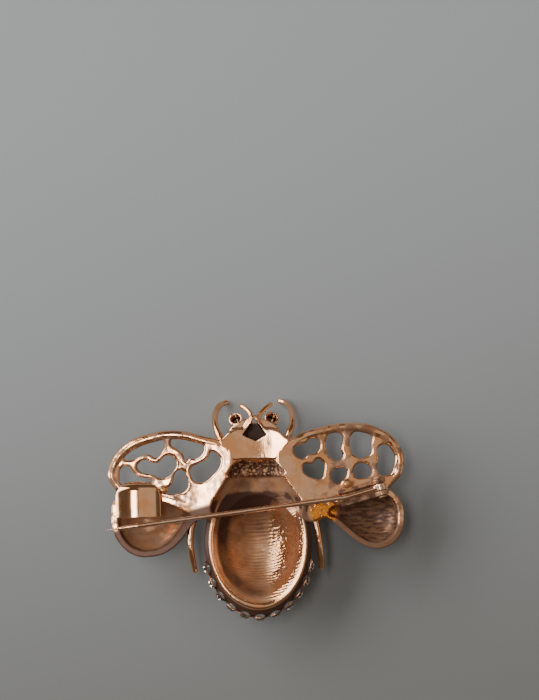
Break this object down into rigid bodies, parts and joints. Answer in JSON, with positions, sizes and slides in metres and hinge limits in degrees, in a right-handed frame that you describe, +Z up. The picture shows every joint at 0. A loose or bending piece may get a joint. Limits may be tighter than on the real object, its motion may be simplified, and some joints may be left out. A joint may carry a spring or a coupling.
{
  "type": "insect brooch",
  "caption": "Bee brooch lying face down: a hollow-backed casting with pierced wings and set crystals, and a hinged pin with a curled catch.",
  "frame": {"origin": "the middle of the bounding box's base, on the surface that the brooch lies on", "axes": "+Z up, away from the surface and out of the brooch's back, +Y towards the head, +X across the wings towards the pin's hinge"},
  "size_m": [0.048, 0.0359, 0.0114],
  "materials": {
    "cast_gold": "rose gold plated casting, polished, with tarnish in its hollows",
    "pin_wire": "rose gold plated drawn wire, polished",
    "rivet_metal": "gold plated wire, polished",
    "eye_glass": "dark brown glass, polished",
    "crystal": "clear cut glass, foiled behind"
  },
  "bodies": {
    "jewel": {"casting": "cast_gold", "hinge_rivet": "rivet_metal", "eye_stone_left": "eye_glass", "eye_stone_right": "eye_glass", "crystal_row1_1": "crystal", "crystal_row1_2": "crystal", "crystal_row1_3": "crystal", "crystal_row1_4": "crystal", "crystal_row1_5": "crystal", "crystal_row1_6": "crystal", "crystal_row1_7": "crystal", "crystal_row2_1": "crystal", "crystal_row2_2": "crystal", "crystal_row2_3": "crystal", "crystal_row2_4": "crystal", "crystal_row2_5": "crystal", "crystal_row2_6": "crystal", "crystal_row2_7": "crystal", "crystal_row2_8": "crystal", "crystal_row3_1": "crystal", "crystal_row3_2": "crystal", "crystal_row3_3": "crystal", "crystal_row3_4": "crystal", "crystal_row3_5": "crystal", "crystal_row3_6": "crystal", "crystal_row3_7": "crystal", "crystal_row4_1": "crystal", "crystal_row4_2": "crystal", "crystal_row4_3": "crystal", "crystal_row4_4": "crystal", "crystal_row4_5": "crystal", "crystal_row4_6": "crystal", "crystal_row5_1": "crystal", "crystal_row5_2": "crystal", "crystal_row5_3": "crystal", "crystal_row5_4": "crystal", "crystal_row5_5": "crystal", "crystal_row5_6": "crystal", "crystal_row5_7": "crystal", "crystal_row5_8": "crystal", "crystal_row5_9": "crystal", "crystal_row5_10": "crystal", "crystal_row5_11": "crystal"},
    "needle": {"needle": "pin_wire"}
  },
  "joints": [
    {"name": "needle_swing", "type": "hinge", "parent": "jewel", "child": "needle", "pos_m": [0.0199, 0.0028, 0.00946], "axis": [-0.2588, 0.9659, 0], "range_deg": [0, 110]}
  ]
}
